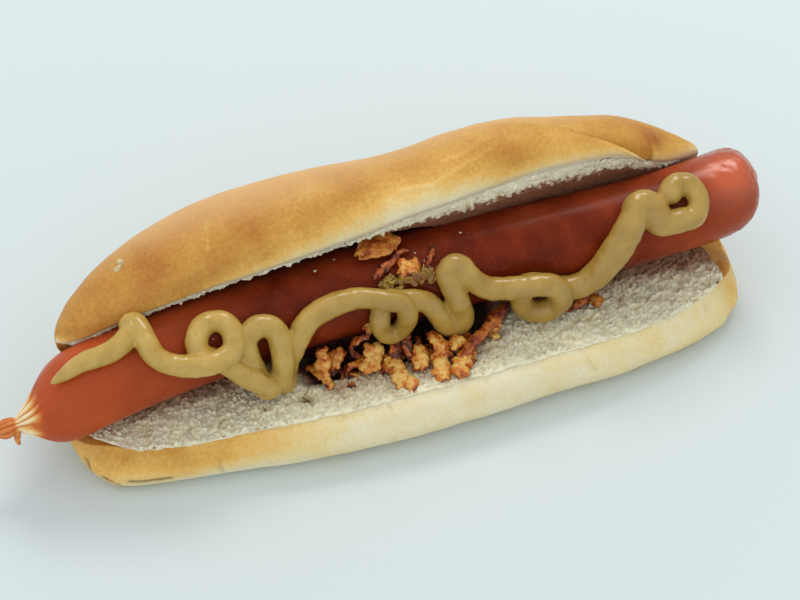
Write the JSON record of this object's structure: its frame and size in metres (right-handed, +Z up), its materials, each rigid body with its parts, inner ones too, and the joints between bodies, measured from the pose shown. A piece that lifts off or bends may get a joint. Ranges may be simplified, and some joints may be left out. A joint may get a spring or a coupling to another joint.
{
  "type": "hot dog",
  "caption": "Hot dog: a long soft roll split at the front with a frankfurter in it, piped loops of brown mustard, crisp fried onions and a little pickle relish.",
  "frame": {"origin": "on the resting surface under the middle of the hot dog's box", "axes": "+X along the roll towards the frankfurter's rounded end, +Z up; the split side faces -Y and the hinge of the roll is at +Y"},
  "size_m": [0.2338, 0.0712, 0.0623],
  "materials": {
    "bread": "baked golden crust, matt with a faint sheen; open grey-white crumb on the cut faces",
    "frankfurter": "smoked red-brown casing, smooth, tight and moist",
    "mustard": "smooth tan mustard paste with fine brown specks, softly glossy",
    "golden_onion": "crisp batter-fried onion, uneven, with a thin shine of fat",
    "brown_onion": "dark fried onion, thin, wrinkled and a little glassy",
    "relish": "olive green and amber pickle pieces, moist"
  },
  "bodies": {
    "root": {"bun": "bread", "sausage": "frankfurter", "mustard": "mustard", "fried_onion_heap": "golden_onion", "onion_upright_crisp": "golden_onion", "onion_orange_crisp": "golden_onion", "onion_yellow_crisp": "golden_onion", "onion_right_crisp": "golden_onion", "onion_oval_slice": "brown_onion", "onion_long_curl": "brown_onion", "onion_thin_strand": "brown_onion", "onion_tall_curl": "brown_onion", "onion_slanted_strip": "brown_onion", "onion_right_strip": "brown_onion", "pickle_relish": "relish"}
  },
  "joints": []
}
